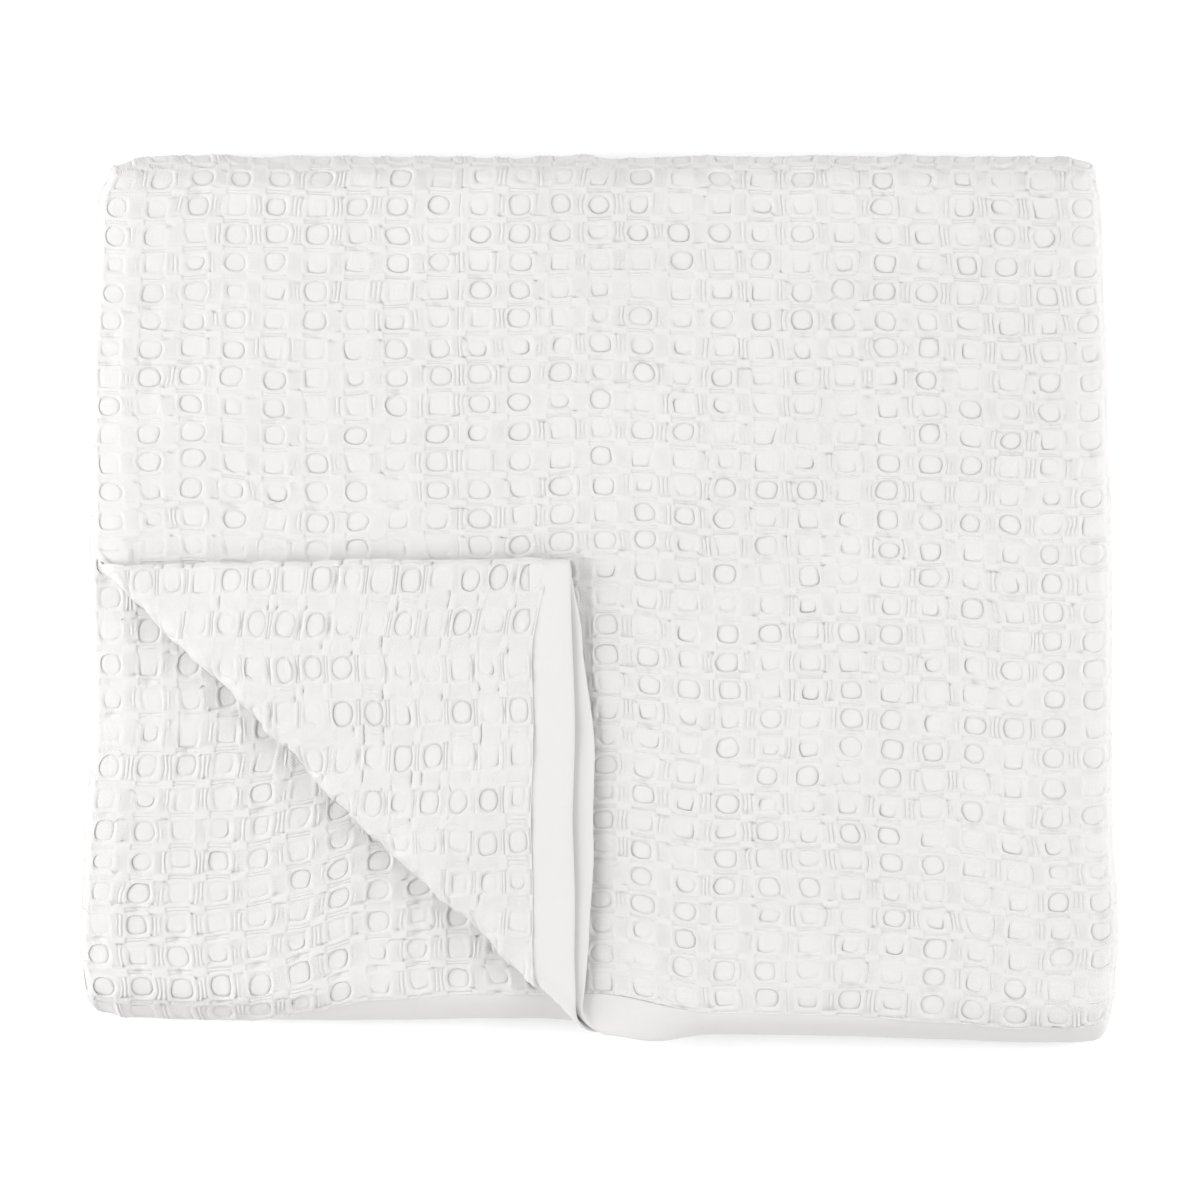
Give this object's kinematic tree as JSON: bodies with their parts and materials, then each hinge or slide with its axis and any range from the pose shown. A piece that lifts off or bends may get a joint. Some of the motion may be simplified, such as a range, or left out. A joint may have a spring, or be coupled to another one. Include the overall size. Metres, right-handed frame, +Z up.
{
  "type": "folded quilt",
  "caption": "White cotton honeycomb quilt with a plain sewn binding, folded into a flat rectangular pile with the near left corner of its upper layers turned back.",
  "frame": {"origin": "the middle of the folded quilt's footprint, on the surface that it lies on", "axes": "+X to the right along the longer side, +Y towards the far fold, +Z up"},
  "size_m": [0.519, 0.4446, 0.047],
  "materials": {
    "honeycomb_cotton": "white honeycomb-weave cotton, matt and a little fluffy",
    "binding_cotton": "white plain-weave cotton, smooth and matt"
  },
  "bodies": {
    "root": {"honeycomb_cloth": "honeycomb_cotton", "binding_near_end": "binding_cotton", "binding_far_end": "binding_cotton", "binding_first_side": "binding_cotton", "binding_second_side": "binding_cotton"}
  },
  "joints": []
}
